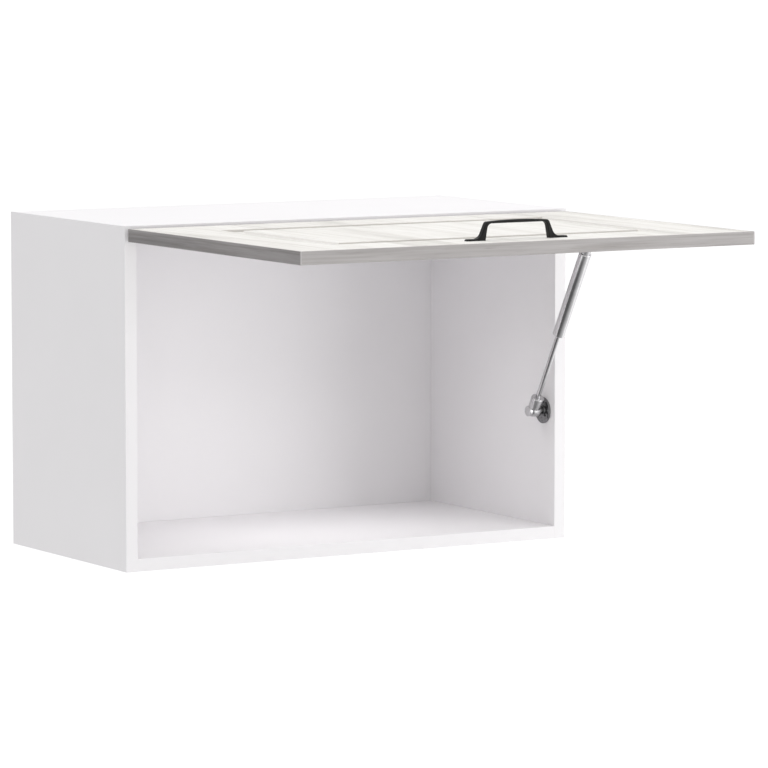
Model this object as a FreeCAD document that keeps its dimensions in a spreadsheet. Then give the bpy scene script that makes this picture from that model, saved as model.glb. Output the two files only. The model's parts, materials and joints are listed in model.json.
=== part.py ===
"""A kitchen wall cabinet with one lift-up flap, a gas strut and hidden cup hinges.

Millimetres. +X is to the right, -Y is the front, +Z is up. The origin lies on the wall plane,
midway between the two wall-screw holes. The flap is drawn open, lying level.
"""
import enum
import os
import re

import FreeCAD
import Part
import Sketcher

SIZES = {
    # Carcass boards
    "cabinet_width": 600,
    "cabinet_height": 400,
    "carcass_depth": 291.5,
    "board": 15,
    "edge_band": 0.8,
    "back_sheet": 3,
    "back_rebate": 8,
    "back_trim": 1,
    # Hanging rail and the wall-screw holes in the middle of its height
    "rail_height": 28,
    "wall_screw_from_side": 100,
    "wall_screw_hole_radius": 3.5,
    # Dowels, cam fittings and nails that hold the carcass together
    "dowel_radius": 4,
    "dowel_in_panel": 20,
    "dowel_in_side": 10,
    "dowel_from_edge": 85,
    "rail_dowel_spacing": 14,
    "cam_from_edge": 50,
    "cam_reach": 24,
    "cam_radius": 7.5,
    "cam_depth": 12,
    "cam_cover": 1.2,
    "cam_channel_radius": 3.6,
    "bolt_hole_radius": 4,
    "bolt_thread_radius": 2.5,
    "bolt_thread_length": 10,
    "bolt_shank_radius": 3,
    "bolt_shank_length": 15,
    "bolt_neck_radius": 2,
    "bolt_neck_length": 8,
    "bolt_head_length": 3,
    "nail_radius": 0.8,
    "nail_length": 20,
    "nail_head_radius": 2,
    "nail_head_height": 0.8,
    "nail_from_end": 40,
    # Flap and its routed frame line
    "flap_length": 397,
    "flap_thickness": 15,
    "flap_gap": 3.5,
    "flap_top_reveal": 3,
    "flap_side_reveal": 2.5,
    "flap_band": 2,
    "flap_band_rounding": 1.2,
    "groove_width": 20,
    "groove_depth": 3,
    "groove_from_side": 80,
    "groove_from_free_edge": 70,
    "groove_from_hinged_edge": 72,
    # Cup hinges
    "hinge_from_side": 100,
    "pivot_inset": 7.5,
    "cup_radius": 17.5,
    "cup_depth": 11.5,
    "cup_wall": 0.8,
    "cup_setback": 20.5,
    "cup_flange_length": 62,
    "cup_flange_width": 16,
    "cup_flange_thickness": 1.2,
    "cup_screw_spacing": 48,
    "pin_radius": 1.5,
    "pin_clearance": 0.05,
    "knuckle_radius": 2.6,
    "knuckle_width": 9,
    "arm_width": 12,
    "arm_height": 9.5,
    "arm_length": 48,
    "hinge_plate_thickness": 3.5,
    "hinge_plate_setback": 12,
    "hinge_plate_length": 37,
    "hinge_plate_width": 14,
    "hinge_wing_length": 50,
    "hinge_wing_width": 12,
    "hinge_wing_screw_spacing": 32,
    "arm_screw_radius": 3,
    "arm_screw_sunk": 0.5,
    "arm_screw_grip": 2,
    "arm_screw_spacing": 20,
    # Wood screws
    "screw_radius": 1.75,
    "screw_head_radius": 3.5,
    "screw_head_height": 1.8,
    "screw_length": 11,
    # Gas strut and its two brackets
    "strut_from_wall": 14.5,
    "strut_drop": 246,
    "strut_setback": 25,
    "strut_reach": 84,
    "strut_standoff": 19,
    "strut_play": 0.3,
    "wall_plate_radius": 16,
    "wall_plate_thickness": 2.5,
    "wall_plate_screw_circle": 11.5,
    "stud_radius": 3,
    "stud_clearance": 0.05,
    "stud_neck_radius": 5,
    "stud_head_radius": 6.5,
    "stud_head_length": 1,
    "flap_stud_neck": 4.5,
    "eye_radius": 8,
    "eye_width": 16,
    "socket_radius": 7.8,
    "socket_length": 20,
    "eye_neck_radius": 4.5,
    "rod_radius": 3,
    "rod_thread_radius": 2.5,
    "rod_clearance": 0.05,
    "rod_spare": 2,
    "tube_radius": 7.5,
    "tube_wall": 1.2,
    "tube_end_gap": 14,
    "guide_length": 9,
    "piston_length": 8,
    "piston_clearance": 0.08,
    "cap_length": 4,
    "ear_thickness": 2.5,
    "ear_radius": 8,
    "flap_plate_length": 34,
    "flap_plate_width": 22,
    "flap_plate_thickness": 2,
    "flap_plate_screw_spacing": 20,
    # Bow handle
    "handle_length": 132,
    "handle_height": 21,
    "handle_width": 7,
    "handle_bar": 2.1,
    "handle_bar_slope": 4,
    "handle_from_free_edge": 36.5,
    "handle_screw_spacing": 96,
    "handle_foot_length": 24,
    "handle_tip": 2.2,
    "handle_flat": 8.2,
    "handle_flare_radius": 10,
    "handle_crown_radius": 4,
    "handle_outer_lean": 24,
    "handle_inner_lean": 10,
    "handle_inner_radius": 6,
    "handle_edge_rounding": 0.8,
    "handle_screw_radius": 2,
    "handle_screw_grip": 3,
}

# Places worked out from the sizes above
PLACES = {
    "half_width": "cabinet_width / 2",
    "inner_half": "half_width - board",
    "inner_width": "cabinet_width - 2 * board",
    "top_face": "board + rail_height / 2",
    "bottom_face": "top_face - cabinet_height",
    "wall_screw_x": "half_width - wall_screw_from_side",
    "front": "-carcass_depth",
    "core_front": "front + edge_band",
    "panel_back": "-back_sheet",
    "panel_depth": "carcass_depth - edge_band - back_sheet",
    "flap_width": "cabinet_width - 2 * flap_side_reveal",
    "half_flap": "flap_width / 2",
    "pivot_y": "front - flap_gap - pivot_inset",
    "pivot_z": "top_face - flap_top_reveal - pivot_inset",
    "flap_back": "pivot_y + pivot_inset",
    "flap_free": "flap_back - flap_length",
    "flap_inner": "pivot_z - pivot_inset",
    "flap_outer": "flap_inner + flap_thickness",
    "hinge_from_middle": "half_width - hinge_from_side",
    "plate_middle": "front + hinge_plate_setback + hinge_plate_length / 2",
    "cup_y": "flap_back - cup_setback",
    "arm_top": "top_face - board - hinge_plate_thickness",
    "arm_tip": "pivot_y - knuckle_radius",
    "strut_x": "inner_half - strut_from_wall",
    "strut_y": "front + strut_setback",
    "strut_z": "top_face - strut_drop",
    "strut_top_y": "pivot_y - strut_reach",
    "strut_top_z": "flap_inner - strut_standoff",
    "strut_run": "strut_y - strut_top_y",
    "strut_rise": "strut_top_z - strut_z",
    "strut_open": "sqrt(strut_run ^ 2 + strut_rise ^ 2)",
    "strut_shut": "sqrt((strut_y - pivot_y + strut_top_z - pivot_z) ^ 2"
                  " + (pivot_z - strut_reach - strut_z) ^ 2)",
    "strut_stroke": "strut_open - strut_shut",
    "strut_lean": "atan2(strut_run; strut_rise)",
    "tube_start": "socket_length + strut_stroke + rod_spare",
    "tube_end": "strut_open - tube_end_gap",
    "tube_bore": "tube_radius - tube_wall",
    "rod_end": "tube_start + guide_length + rod_spare + piston_length",
    "ear_x": "strut_x - eye_width / 2 - strut_play - flap_stud_neck",
    "handle_y": "flap_free + handle_from_free_edge",
    "handle_turn": "90 - handle_outer_lean",
    "handle_flare_x": "handle_tip + handle_flat + handle_flare_radius * sin(handle_turn)",
    "handle_flare_z": "handle_tip + handle_flare_radius * (1 - cos(handle_turn))",
    "handle_shoulder_z": "handle_height - handle_crown_radius * (1 - cos(handle_turn))",
    "handle_shoulder_x": "handle_flare_x + (handle_shoulder_z - handle_flare_z) / tan(handle_turn)",
    "handle_crown_x": "handle_shoulder_x"
                      " + handle_crown_radius * (sin(handle_turn) - sin(handle_bar_slope))",
    "handle_crown_z": "handle_height - handle_crown_radius * (1 - cos(handle_bar_slope))",
    "handle_arch_radius": "(handle_length / 2 - handle_crown_x) / sin(handle_bar_slope)",
    "handle_under": "handle_height - handle_bar",
    "handle_leg_z": "handle_under - handle_inner_radius * (1 - sin(handle_inner_lean))",
    "handle_leg_x": "handle_foot_length + handle_leg_z * tan(handle_inner_lean)",
    "handle_bar_x": "handle_leg_x + handle_inner_radius * cos(handle_inner_lean)",
}

X_AXIS = FreeCAD.Vector(1, 0, 0)
Y_AXIS = FreeCAD.Vector(0, 1, 0)
TURNS = {
    "x": FreeCAD.Rotation(Y_AXIS, 90),
    "-x": FreeCAD.Rotation(Y_AXIS, -90),
    "-y": FreeCAD.Rotation(X_AXIS, 90),
    "z": FreeCAD.Rotation(),
    "-z": FreeCAD.Rotation(X_AXIS, 180),
}
SIDES = {"left": -1, "right": 1}
NAILS_ACROSS = 5
NAILS_UP = 3
WALL_PLATE_SCREW_ANGLES = (90, 210, 330)
SAME_PLACE = 0.01
# How sketch constraints name the origin
SKETCH_ORIGIN = -1
SIZE_NAME = re.compile(r"[a-z][a-z_]+")


class CurveEnd(enum.IntEnum):
    """How sketch constraints name the two ends of a curve: first is 1, last is 2."""
    FIRST = enum.auto()
    LAST = enum.auto()


doc = FreeCAD.newDocument("wall_cabinet")
sheet = doc.addObject("Spreadsheet::Sheet", "Sizes")
for row, (size_name, size) in enumerate(SIZES.items(), start=1):
    sheet.set(f"A{row}", size_name)
    sheet.set(f"B{row}", str(size))
    sheet.setAlias(f"B{row}", size_name)
doc.recompute()
nodes = []


def formula(text):
    """Turn the names of sizes and places into references to the sheet's cells."""
    def reference(match):
        word = match.group(0)
        if word in PLACES:
            return f"({formula(PLACES[word])})"
        return f"Sizes.{word}" if word in SIZES else word
    return SIZE_NAME.sub(reference, str(text))


def value(text):
    """The number that a formula gives now."""
    result = sheet.evalExpression(formula(text))
    return float(getattr(result, "Value", result))


def bind(thing, **formulas):
    """Tie properties of an object to formulas."""
    for name, text in formulas.items():
        thing.setExpression(name, formula(text))


def place(thing, spot, along="z"):
    """Put an object's own origin at a spot, with its own Z along an axis."""
    thing.Placement = FreeCAD.Placement(FreeCAD.Vector(), TURNS[along])
    for letter, text in zip("xyz", spot):
        thing.setExpression(f"Placement.Base.{letter}", formula(text))
    return thing


def place_on_strut(thing):
    """Put an object drawn along Z from the strut's lower pivot onto the leaning strut."""
    thing.Placement = FreeCAD.Placement(FreeCAD.Vector(), FreeCAD.Rotation(X_AXIS, value("strut_lean")))
    thing.setExpression("Placement.Rotation.Angle", formula("strut_lean"))
    for letter, text in zip("xyz", ("strut_x", "strut_y", "strut_z")):
        thing.setExpression(f"Placement.Base.{letter}", formula(text))
    return thing


def block(name, size, corner):
    """A box from its low corner."""
    box = doc.addObject("Part::Box", name)
    bind(box, Length=size[0], Width=size[1], Height=size[2])
    return place(box, corner)


def bar(name, radius, length, start, along="z"):
    """A round bar from the middle of its first end."""
    cylinder = doc.addObject("Part::Cylinder", name)
    bind(cylinder, Radius=radius, Height=length)
    return place(cylinder, start, along)


def join(name, pieces):
    """One solid made of pieces that meet."""
    fusion = doc.addObject("Part::MultiFuse", name)
    fusion.Shapes = pieces
    return fusion


def group(name, pieces):
    """Separate solids kept together."""
    compound = doc.addObject("Part::Compound", name)
    compound.Links = pieces
    return compound


def cut(name, base, *tools):
    """A piece with room cut in it for other pieces."""
    result = doc.addObject("Part::Cut", name)
    result.Base = base
    result.Tool = tools[0] if len(tools) == 1 else group(f"{name}_tools", list(tools))
    return result


def rounded(name, base, radius, pick):
    """A piece whose picked edges are rounded."""
    doc.recompute()
    edges = [number for number, edge in enumerate(base.Shape.Edges, start=1) if pick(edge)]
    result = doc.addObject("Part::Fillet", name)
    result.Base = base
    result.Edges = [(number, value(radius), value(radius)) for number in edges]
    return result


def turned(name, steps, start, along):
    """A stepped round piece: each step is a radius and a length, one after the other."""
    pieces = []
    reached = "0"
    for radius, length in steps:
        pieces.append(bar(f"{name}_step", radius, length, ("0", "0", reached)))
        reached = f"{reached} + {length}"
    return place(join(name, pieces), start, along)


def wood_screw(name, seat, into):
    """A pan-head screw whose head stands on its seat; it goes into the wood along an axis."""
    steps = [("screw_head_radius", "screw_head_height"), ("screw_radius", "screw_length")]
    return turned(name, steps, seat, into)


def node(label, thing):
    """Name a finished sub-part."""
    thing.Label = label
    nodes.append(thing)
    return thing


def outward(sign, inner, outer):
    """Start and length along X of a span given by its distances from the middle of the cabinet."""
    start = inner if sign > 0 else f"-({outer})"
    return start, f"({outer}) - ({inner})"


def side_bar(name, radius, sign, inner, outer, y, z):
    """A bar along X between two distances from the middle of the cabinet."""
    start, length = outward(sign, inner, outer)
    return bar(name, radius, length, (start, y, z), "x")


def side_block(name, sign, inner, outer, corner, size):
    """A box between two distances from the middle; corner and size are along Y and Z."""
    start, length = outward(sign, inner, outer)
    return block(name, (length, *size), (start, *corner))


# Dowels and cam fittings at the four corners of the carcass

def corner_levels():
    """The middle of each board's thickness where it meets a side panel, with the way out of it."""
    return {"top": ("top_face - board / 2", "top_face", "z"),
            "bottom": ("bottom_face + board / 2", "bottom_face", "-z")}


def joint_depths(distance):
    """Two places along Y, as far from the front as from the back of a panel."""
    return f"front + {distance}", f"-({distance})"


def make_dowels():
    dowels = []
    for sign in SIDES.values():
        spots = [(y, level[0]) for level in corner_levels().values() for y in joint_depths("dowel_from_edge")]
        spots += [("panel_back - board / 2", f"{way} * rail_dowel_spacing / 2") for way in (-1, 1)]
        for y, z in spots:
            dowels.append(side_bar("dowel", "dowel_radius", sign, "inner_half - dowel_in_panel",
                                   "inner_half + dowel_in_side", y, z))
    return node("carcass_dowels", group("carcass_dowels", dowels))


def make_cam_bolts():
    bolts = []
    steps = [("bolt_thread_radius", "bolt_thread_length"), ("bolt_shank_radius", "bolt_shank_length"),
             ("bolt_neck_radius", "bolt_neck_length"), ("bolt_shank_radius", "bolt_head_length")]
    for sign in SIDES.values():
        inward = "-x" if sign > 0 else "x"
        for middle, _, _ in corner_levels().values():
            for y in joint_depths("cam_from_edge"):
                start = (f"{sign} * (inner_half + bolt_thread_length)", y, middle)
                bolts.append(turned("cam_bolt", steps, start, inward))
    return node("cam_bolts", group("cam_bolts", bolts))


def make_cam_locks():
    """Round cams let into the outer faces of the top and bottom panels, open towards their bolts.

    A cover closes each one flush with the face. Gives back the room that they need in those panels.
    """
    locks = []
    covers = []
    housings = []
    for sign in SIDES.values():
        centre = f"{sign} * (inner_half - cam_reach)"
        for middle, face, out in corner_levels().values():
            way = 1 if out == "z" else -1
            inner_end = f"{face} - {way} * cam_depth"
            for y in joint_depths("cam_from_edge"):
                disc = bar("cam_disc", "cam_radius", "cam_depth - cam_cover", (centre, y, inner_end), out)
                channel = side_bar("cam_channel", "cam_channel_radius", sign,
                                   "inner_half - cam_reach - cam_channel_radius",
                                   "inner_half - cam_reach + cam_radius", y, middle)
                locks.append(cut("cam_lock", disc, channel))
                covers.append(bar("cam_cover", "cam_radius", "cam_cover",
                                  (centre, y, f"{face} - {way} * cam_cover"), out))
                housings.append(bar("cam_housing", "cam_radius", "cam_depth", (centre, y, inner_end), out))
                housings.append(side_bar("bolt_hole", "bolt_hole_radius", sign, "inner_half - cam_reach",
                                         "inner_half", y, middle))
    node("cam_locks", group("cam_locks", locks))
    node("cam_covers", group("cam_covers", covers))
    return group("cam_housings", housings)


def make_nails():
    """Nails through the back sheet into the rear edges of all four boards."""
    spots = []
    for z in ("top_face - board / 2", "bottom_face + board / 2"):
        for number in range(NAILS_ACROSS):
            share = 2 * number / (NAILS_ACROSS - 1) - 1
            spots.append((f"{share} * (inner_half - nail_from_end)", z))
    for sign in SIDES.values():
        for number in range(NAILS_UP):
            share = (number + 1) / (NAILS_UP + 1)
            spots.append((f"{sign} * (inner_half + back_rebate / 2)",
                          f"bottom_face + {share} * cabinet_height"))
    steps = [("nail_head_radius", "nail_head_height"), ("nail_radius", "nail_length - nail_head_height")]
    nails = [turned("nail", steps, (x, "0", z), "-y") for x, z in spots]
    return node("back_panel_nails", group("back_panel_nails", nails))


# Boards of the carcass

def make_back_panel(nails, wall_holes):
    sheet_half = "inner_half + back_rebate - back_trim"
    sheet_size = (f"2 * ({sheet_half})", "back_sheet", "cabinet_height - 2 * back_trim")
    low_corner = (f"-({sheet_half})", "panel_back", "bottom_face + back_trim")
    sheet_board = block("back_board", sheet_size, low_corner)
    return node("back_panel", cut("back_panel", sheet_board, nails, wall_holes))


def make_side_panel(side, *fittings):
    sign = SIDES[side]
    slab = side_block("side_board", sign, "inner_half", "half_width", ("core_front", "bottom_face"),
                      ("carcass_depth - edge_band", "cabinet_height"))
    rebate = side_block("rebate", sign, "inner_half", "inner_half + back_rebate",
                        ("panel_back", "bottom_face"), ("back_sheet", "cabinet_height"))
    return node(f"side_panel_{side}", cut(f"side_panel_{side}", slab, rebate, *fittings))


def make_level_panel(name, low_face, *fittings):
    slab = block(f"{name}_board", ("inner_width", "panel_depth", "board"),
                 ("-inner_half", "core_front", low_face))
    return node(name, cut(name, slab, *fittings))


def make_hanging_rail(dowels, wall_holes):
    slab = block("rail_board", ("inner_width", "board", "rail_height"),
                 ("-inner_half", "panel_back - board", "-rail_height / 2"))
    return node("hanging_rail", cut("hanging_rail", slab, dowels, wall_holes))


def make_wall_holes():
    depth = "back_sheet + board"
    return group("wall_holes", [
        bar("wall_hole", "wall_screw_hole_radius", depth, (f"{sign} * wall_screw_x", "0", "0"), "-y")
        for sign in SIDES.values()])


def make_carcass_bands():
    for side, sign in SIDES.items():
        node(f"edge_band_side_{side}",
             side_block(f"edge_band_side_{side}", sign, "inner_half", "half_width", ("front", "bottom_face"),
                        ("edge_band", "cabinet_height")))
    for name, low_face in (("top", "top_face - board"), ("bottom", "bottom_face")):
        node(f"edge_band_{name}",
             block(f"edge_band_{name}", ("inner_width", "edge_band", "board"),
                   ("-inner_half", "front", low_face)))


# Cup hinges: the cup and its pin turn with the flap, the arm and its plate stay on the top panel

def make_hinge_plate(side, screws):
    x = f"{SIDES[side]} * hinge_from_middle"
    spine = block("plate_spine", ("hinge_plate_width", "hinge_plate_length", "hinge_plate_thickness"),
                  (f"{x} - hinge_plate_width / 2", "front + hinge_plate_setback", "arm_top"))
    wings = block("plate_wings", ("hinge_wing_length", "hinge_wing_width", "hinge_plate_thickness"),
                  (f"{x} - hinge_wing_length / 2", "plate_middle - hinge_wing_width / 2", "arm_top"))
    plate = join("plate_blank", [spine, wings])
    return node(f"hinge_plate_{side}", cut(f"hinge_plate_{side}", plate, screws))


def make_hinge_plate_screws():
    screws = [wood_screw("plate_screw",
                         (f"{sign} * hinge_from_middle + {way} * hinge_wing_screw_spacing / 2",
                          "plate_middle", "arm_top - screw_head_height"), "z")
              for sign in SIDES.values() for way in (-1, 1)]
    return node("hinge_plate_screws", group("hinge_plate_screws", screws))


def make_arm_screws():
    """The fixing and adjusting screws, sunk into the arms' undersides and reaching into the plates."""
    screws = [bar("arm_screw", "arm_screw_radius", "arm_height - arm_screw_sunk + arm_screw_grip",
                  (f"{sign} * hinge_from_middle", f"plate_middle + {way} * arm_screw_spacing / 2",
                   "arm_top - arm_height + arm_screw_sunk"))
              for sign in SIDES.values() for way in (-1, 1)]
    return node("hinge_adjusting_screws", group("hinge_adjusting_screws", screws))


def make_hinge_arm(side):
    x = f"{SIDES[side]} * hinge_from_middle"
    beam = block("arm_beam", ("arm_width", "front + arm_length - arm_tip", "arm_height"),
                 (f"{x} - arm_width / 2", "arm_tip", "arm_top - arm_height"))
    nose_cheeks = [block("nose_cheek",
                         ("(arm_width - knuckle_width) / 2", "front - arm_tip", "arm_height"),
                         (f"{x} + {corner}", "arm_tip", "arm_top - arm_height"))
                   for corner in ("knuckle_width / 2", "-arm_width / 2")]
    hook = block("arm_hook", ("knuckle_width", "2 * knuckle_radius", "pivot_z - arm_top + arm_height / 2"),
                 (f"{x} - knuckle_width / 2", "arm_tip", "arm_top - arm_height / 2"))
    knuckle = bar("arm_knuckle", "knuckle_radius", "knuckle_width",
                  (f"{x} - knuckle_width / 2", "pivot_y", "pivot_z"), "x")
    eye = bar("arm_eye", "pin_radius + pin_clearance", "arm_width",
              (f"{x} - arm_width / 2", "pivot_y", "pivot_z"), "x")
    sunk_holes = [bar("sunk_hole", "arm_screw_radius", "arm_height",
                      (x, f"plate_middle + {way} * arm_screw_spacing / 2", "arm_top - arm_height"))
                  for way in (-1, 1)]
    arm = join("arm_blank", [beam, hook, knuckle])
    return node(f"hinge_arm_{side}", cut(f"hinge_arm_{side}", arm, *nose_cheeks, eye, *sunk_holes))


def make_hinge_pin(side):
    chord = "sqrt((cup_radius - cup_wall / 2) ^ 2 - (cup_setback - pivot_inset + pin_radius) ^ 2)"
    pin = bar(f"hinge_pin_{side}", "pin_radius", f"2 * {chord}",
              (f"{SIDES[side]} * hinge_from_middle - {chord}", "pivot_y", "pivot_z"), "x")
    return node(f"hinge_pin_{side}", pin)


def make_hinge_cup(side, pin, screws):
    x = f"{SIDES[side]} * hinge_from_middle"
    pot = bar("cup_pot", "cup_radius", "cup_depth", (x, "cup_y", "flap_inner"))
    flange = block("cup_flange", ("cup_flange_length", "cup_flange_width", "cup_flange_thickness"),
                   (f"{x} - cup_flange_length / 2", "cup_y - cup_flange_width / 2",
                    "flap_inner - cup_flange_thickness"))
    hollow = bar("cup_hollow", "cup_radius - cup_wall", "cup_flange_thickness + cup_depth - cup_wall",
                 (x, "cup_y", "flap_inner - cup_flange_thickness"))
    cup = join("cup_blank", [pot, flange])
    return node(f"hinge_cup_{side}", cut(f"hinge_cup_{side}", cup, hollow, pin, screws))


def make_cup_screws():
    screws = [wood_screw("cup_screw",
                         (f"{sign} * hinge_from_middle + {way} * cup_screw_spacing / 2", "cup_y",
                          "flap_inner - cup_flange_thickness - screw_head_height"), "z")
              for sign in SIDES.values() for way in (-1, 1)]
    return node("hinge_cup_screws", group("hinge_cup_screws", screws))


# Flap

def rectangle(sketch, low, high):
    """A rectangle in a sketch, tied to the formulas of its two corners."""
    corners = [(low[0], low[1]), (high[0], low[1]), (high[0], high[1]), (low[0], high[1])]
    outline(sketch, [(corner, None) for corner in corners])


def outline(sketch, points):
    """A closed outline through points; a point may carry the radius of the arc that leaves it.

    A radius above zero turns right along the way, one below zero turns left.
    """
    spots = [FreeCAD.Vector(value(spot[0]), value(spot[1]), 0) for spot, _ in points]
    curves = []
    for number, (_, radius) in enumerate(points):
        start, end = spots[number], spots[(number + 1) % len(spots)]
        curves.append(sketch.addGeometry(curve_between(start, end, radius)))
    for number, ((spot, radius), curve) in enumerate(zip(points, curves)):
        before = curves[number - 1]
        first = first_end(radius)
        last_before = CurveEnd.FIRST + CurveEnd.LAST - first_end(points[number - 1][1])
        sketch.addConstraint(Sketcher.Constraint("Coincident", before, last_before, curve, first))
        for kind, text in zip(("DistanceX", "DistanceY"), spot):
            constraint = sketch.addConstraint(
                Sketcher.Constraint(kind, SKETCH_ORIGIN, CurveEnd.FIRST, curve, first, value(text)))
            sketch.setExpression(f"Constraints[{constraint}]", formula(text))
        if radius:
            size = radius.lstrip("-")
            constraint = sketch.addConstraint(Sketcher.Constraint("Radius", curve, value(size)))
            sketch.setExpression(f"Constraints[{constraint}]", formula(size))


def first_end(radius):
    """Which end of a curve the outline enters: an arc that turns right runs against its own sense."""
    return CurveEnd.LAST if radius and not radius.startswith("-") else CurveEnd.FIRST


def curve_between(start, end, radius):
    """A straight line, or the smaller arc of a radius that turns right, or left if it is below zero."""
    if not radius:
        return Part.LineSegment(start, end)
    turns_left = radius.startswith("-")
    size = value(radius.lstrip("-"))
    chord = end - start
    side = FreeCAD.Vector(-chord.y, chord.x, 0).normalize()
    if not turns_left:
        side = -side
    rise = (size ** 2 - (chord.Length / 2) ** 2) ** 0.5
    centre = start + chord / 2 + side * rise
    middle = centre - side * size
    return Part.Arc(start, middle, end)


def sketch_on(body, role, name):
    """A sketch on one of a body's own origin planes."""
    sketch = body.newObject("Sketcher::SketchObject", name)
    plane = [feature for feature in body.Origin.OriginFeatures if feature.Role == role][0]
    sketch.AttachmentSupport = (plane, [""])
    sketch.MapMode = "FlatFace"
    return sketch


def make_flap_board(*fittings):
    """The board with its routed frame line; its own origin is the hinged corner of its inner face."""
    core_width = "(flap_width - 2 * flap_band)"
    core_length = "(flap_length - 2 * flap_band)"
    body = doc.addObject("PartDesign::Body", "flap_core")
    face = sketch_on(body, "XY_Plane", "flap_outline")
    rectangle(face, ("0", "0"), (core_width, core_length))
    pad = body.newObject("PartDesign::Pad", "flap_pad")
    pad.Profile = face
    bind(pad, Length="flap_thickness")
    line = sketch_on(body, "XY_Plane", "frame_line")
    line.setExpression("AttachmentOffset.Base.z", formula("flap_thickness"))
    side, free, hinged = ("groove_from_side - flap_band", "groove_from_free_edge - flap_band",
                          "groove_from_hinged_edge - flap_band")
    rectangle(line, (side, free), (f"{core_width} - ({side})", f"{core_length} - ({hinged})"))
    rectangle(line, (f"{side} + groove_width", f"{free} + groove_width"),
              (f"{core_width} - ({side}) - groove_width", f"{core_length} - ({hinged}) - groove_width"))
    groove = body.newObject("PartDesign::Pocket", "frame_groove")
    groove.Profile = line
    bind(groove, Length="groove_depth")
    place(body, ("-half_flap + flap_band", "flap_free + flap_band", "flap_inner"))
    bores = [bar("cup_bore", "cup_radius", "cup_depth",
                 (f"{sign} * hinge_from_middle", "cup_y", "flap_inner"))
             for sign in SIDES.values()]
    return node("flap_board", cut("flap_board", body, *bores, *fittings))


def make_flap_bands():
    """Edge strips: those at the sides run the whole length and cover the ends of the other two."""
    for side, sign in SIDES.items():
        strip = side_block("flap_strip", sign, "half_flap - flap_band", "half_flap",
                           ("flap_free", "flap_inner"), ("flap_length", "flap_thickness"))
        outer_x = sign * value("half_flap")
        node(f"flap_band_{side}",
             rounded(f"flap_band_{side}", strip, "flap_band_rounding",
                     lambda edge: all(abs(vertex.X - outer_x) < SAME_PLACE for vertex in edge.Vertexes)))
    for name, low_y, outer in (("free_edge", "flap_free", "flap_free"),
                               ("hinged_edge", "flap_back - flap_band", "flap_back")):
        strip = block("flap_strip", ("flap_width - 2 * flap_band", "flap_band", "flap_thickness"),
                      ("-half_flap + flap_band", low_y, "flap_inner"))
        outer_y = value(outer)
        node(f"flap_band_{name}",
             rounded(f"flap_band_{name}", strip, "flap_band_rounding",
                     lambda edge: edge.Length > value("flap_thickness") + SAME_PLACE
                     and all(abs(vertex.Y - outer_y) < SAME_PLACE for vertex in edge.Vertexes)))


# Bow handle

def mirrored(points):
    """The same stretch of the handle's outline at its other end, in the opposite order."""
    flipped = [(f"handle_length - ({x})", z) for (x, z), _ in reversed(points)]
    radii = [radius for _, radius in reversed(points[:-1])] + [None]
    return list(zip(flipped, radii))


def make_handle(screws):
    """A cast bow: two flared feet, legs that lean inwards and a bar with an arched top."""
    outer = [(("handle_crown_x", "handle_crown_z"), "-handle_crown_radius"),
             (("handle_shoulder_x", "handle_shoulder_z"), None),
             (("handle_flare_x", "handle_flare_z"), "handle_flare_radius"),
             (("handle_tip + handle_flat", "handle_tip"), None),
             (("handle_tip", "handle_tip"), "-handle_tip"),
             (("0", "0"), None)]
    inner = [(("handle_foot_length", "0"), None),
             (("handle_leg_x", "handle_leg_z"), "handle_inner_radius"),
             (("handle_bar_x", "handle_under"), None)]
    far_outer = mirrored(outer)
    far_outer[-1] = (far_outer[-1][0], "-handle_arch_radius")
    points = outer + inner + mirrored(inner) + far_outer
    body = doc.addObject("PartDesign::Body", "handle_body")
    shape = sketch_on(body, "XZ_Plane", "bow_outline")
    outline(shape, points)
    pad = body.newObject("PartDesign::Pad", "bow_pad")
    pad.Profile = shape
    pad.SideType = "Symmetric"
    bind(pad, Length="handle_width")
    doc.recompute()
    softened = body.newObject("PartDesign::Fillet", "bow_rounding")
    base_edges = [f"Edge{number}" for number, edge in enumerate(pad.Shape.Edges, start=1)
                  if abs(edge.BoundBox.YLength) < SAME_PLACE and edge.BoundBox.ZMax > SAME_PLACE]
    softened.Base = (pad, base_edges)
    bind(softened, Radius="handle_edge_rounding")
    place(body, ("-handle_length / 2", "handle_y", "flap_outer"))
    return node("handle", cut("handle", body, screws))


def make_handle_screws():
    """Screws through the flap from its inner face into the feet of the handle."""
    steps = [("screw_head_radius", "screw_head_height"),
             ("handle_screw_radius", "flap_thickness + handle_screw_grip")]
    screws = [turned("handle_screw", steps,
                     (f"{sign} * handle_screw_spacing / 2", "handle_y",
                      "flap_inner - screw_head_height"), "z")
              for sign in SIDES.values()]
    return node("handle_screws", group("handle_screws", screws))


# Gas strut on the right-hand side panel

def make_wall_plate_screws():
    screws = [wood_screw("wall_plate_screw",
                         ("inner_half - wall_plate_thickness - screw_head_height",
                          f"strut_y + wall_plate_screw_circle * cos({angle})",
                          f"strut_z + wall_plate_screw_circle * sin({angle})"), "x")
              for angle in WALL_PLATE_SCREW_ANGLES]
    return node("strut_wall_screws", group("strut_wall_screws", screws))


def make_wall_stud():
    """The fixed half of the lower pivot: a neck on the wall plate that stops just short of the eye."""
    neck_length = "strut_from_wall - wall_plate_thickness - eye_width / 2 - strut_play"
    stud = bar("strut_wall_stud", "stud_neck_radius", neck_length,
               ("inner_half - wall_plate_thickness", "strut_y", "strut_z"), "-x")
    return node("strut_wall_stud", stud)


def make_pivot_cap():
    """The other half of the lower pivot: a pin that fills the eye, with a round head."""
    steps = [("stud_radius", "eye_width"), ("stud_head_radius", "stud_head_length")]
    cap = turned("strut_pivot_cap", steps, ("strut_x + eye_width / 2", "strut_y", "strut_z"), "-x")
    return node("strut_pivot_cap", cap)


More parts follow.
